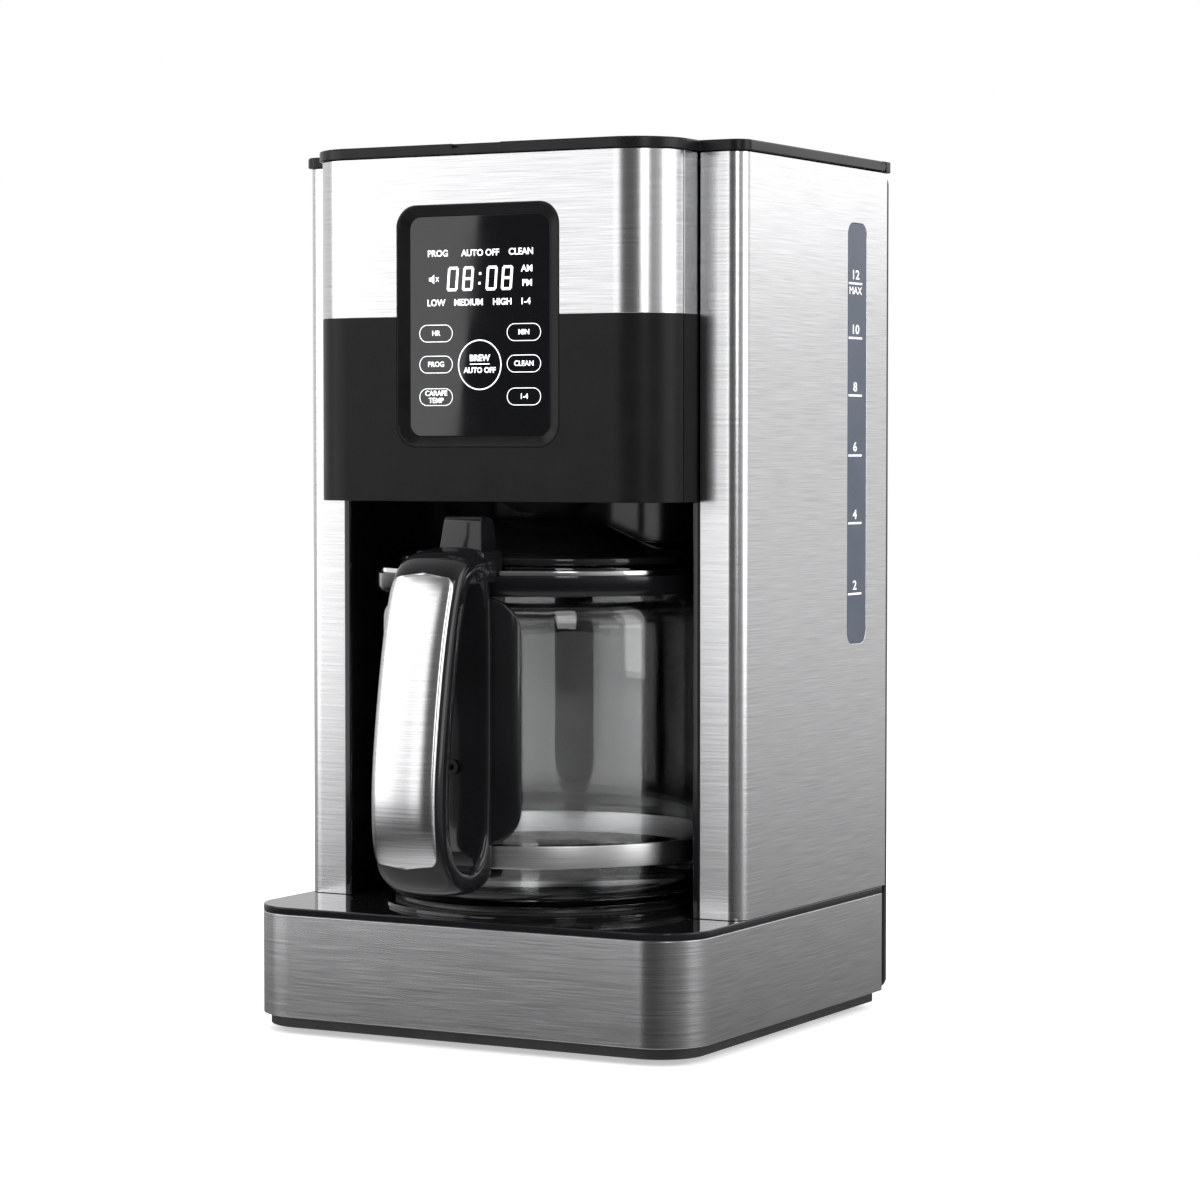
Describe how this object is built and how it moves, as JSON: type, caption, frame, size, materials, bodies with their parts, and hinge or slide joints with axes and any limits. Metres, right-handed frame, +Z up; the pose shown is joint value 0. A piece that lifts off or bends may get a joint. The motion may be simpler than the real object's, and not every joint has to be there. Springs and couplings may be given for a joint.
{
  "type": "drip coffee maker",
  "caption": "Drip coffee maker with a tall steel tower, touch panel head, hinged top lid, warming plate and a glass carafe with a D-shaped handle.",
  "frame": {"origin": "plane of the feet, under the middle of the warming plate and on the carafe's axis", "axes": "+Z up, -Y towards the front where the handle points, +X to the user's right when facing the machine's front from -Y"},
  "size_m": [0.2044, 0.23, 0.3565],
  "materials": {
    "brushed_steel": "fine horizontal brushing",
    "polished_steel": "polished",
    "screw_steel": "zinc plated",
    "heater_steel": "drawn, dull",
    "cast_aluminium": "as cast",
    "gloss_black": "high gloss",
    "satin_black": "fine satin",
    "black_moulding": "fine spark texture",
    "white_moulding": "plain moulded",
    "plate_coating": "non-stick coating",
    "rubber": "matt",
    "silicone": "translucent silicone",
    "gauge_plastic": "smoked clear plastic",
    "tank_plastic": "translucent moulded",
    "panel_glass": "dark tinted",
    "circuit_board": "solder mask",
    "filter_mesh": "woven mesh",
    "clear_glass": "clear borosilicate"
  },
  "bodies": {
    "machine": {"base_bottom": "black_moulding", "rubber_feet": "rubber", "case_screws": "screw_steel", "base_band": "brushed_steel", "base_top": "gloss_black", "hot_plate": "plate_coating", "hot_plate_seal": "rubber", "boiler": "cast_aluminium", "heater_element": "heater_steel", "heater_clamp": "screw_steel", "thermostat": "heater_steel", "tank_hose": "silicone", "boiler_hose": "silicone", "riser": "silicone", "check_valve": "black_moulding", "riser_seal": "rubber", "tower_shell_left": "brushed_steel", "tower_shell_right": "brushed_steel", "side_frames": "black_moulding", "gauge_window": "gauge_plastic", "niche_liner": "gloss_black", "niche_trim": "black_moulding", "water_tank": "tank_plastic", "tank_screen": "white_moulding", "back_cover": "black_moulding", "cord_gland": "rubber", "head_front_steel": "brushed_steel", "head_front_black": "satin_black", "head_strips_upper": "brushed_steel", "head_strips_lower": "satin_black", "head_frame": "black_moulding", "head_floor": "gloss_black", "top_deck": "black_moulding", "panel_bezel": "gloss_black", "panel_glass": "panel_glass", "display_module": "circuit_board", "control_board": "circuit_board", "power_board": "circuit_board", "basket": "black_moulding", "valve_cage": "white_moulding", "drip_valve_seal": "rubber", "drip_valve_spring": "screw_steel", "mesh_filter": "filter_mesh", "hinge_rail": "gloss_black", "lid_hinge_pin": "screw_steel"},
    "top_lid_group": {"top_lid": "gloss_black", "lid_liner": "black_moulding", "shower_head": "white_moulding"},
    "drip_stop": {"drip_valve": "white_moulding"},
    "valve_ball": {"check_ball": "screw_steel"},
    "carafe": {"carafe_glass": "clear_glass", "carafe_band": "brushed_steel", "carafe_collar": "gloss_black", "carafe_trim_ring": "polished_steel", "handle_body": "gloss_black", "handle_plate": "brushed_steel", "lid_pin": "screw_steel", "handle_screw": "screw_steel"},
    "carafe_lid_group": {"carafe_lid": "gloss_black", "lid_lever": "gloss_black"}
  },
  "joints": [
    {"name": "top_lid_hinge", "type": "hinge", "parent": "machine", "child": "top_lid_group", "pos_m": [0, 0.106, 0.3544], "axis": [-1, 0, 0], "range_deg": [0, 95]},
    {"name": "carafe_slide", "type": "slide", "parent": "machine", "child": "carafe", "axis": [0, -1, 0], "range_m": [0, 0.16]},
    {"name": "carafe_lid_hinge", "type": "hinge", "parent": "carafe", "child": "carafe_lid_group", "pos_m": [0, -0.065, 0.193], "axis": [1, 0, 0], "range_deg": [0, 2.4]},
    {"name": "drip_stop_slide", "type": "slide", "parent": "machine", "child": "drip_stop", "axis": [0, 0, 1], "range_m": [0, 0.0025], "stiffness_N_per_m": 150, "springref_m": -0.004, "deforming": ["drip_valve_spring"]},
    {"name": "check_ball_slide", "type": "slide", "parent": "machine", "child": "valve_ball", "axis": [0, 1, 0], "range_m": [0, 0.002]}
  ]
}
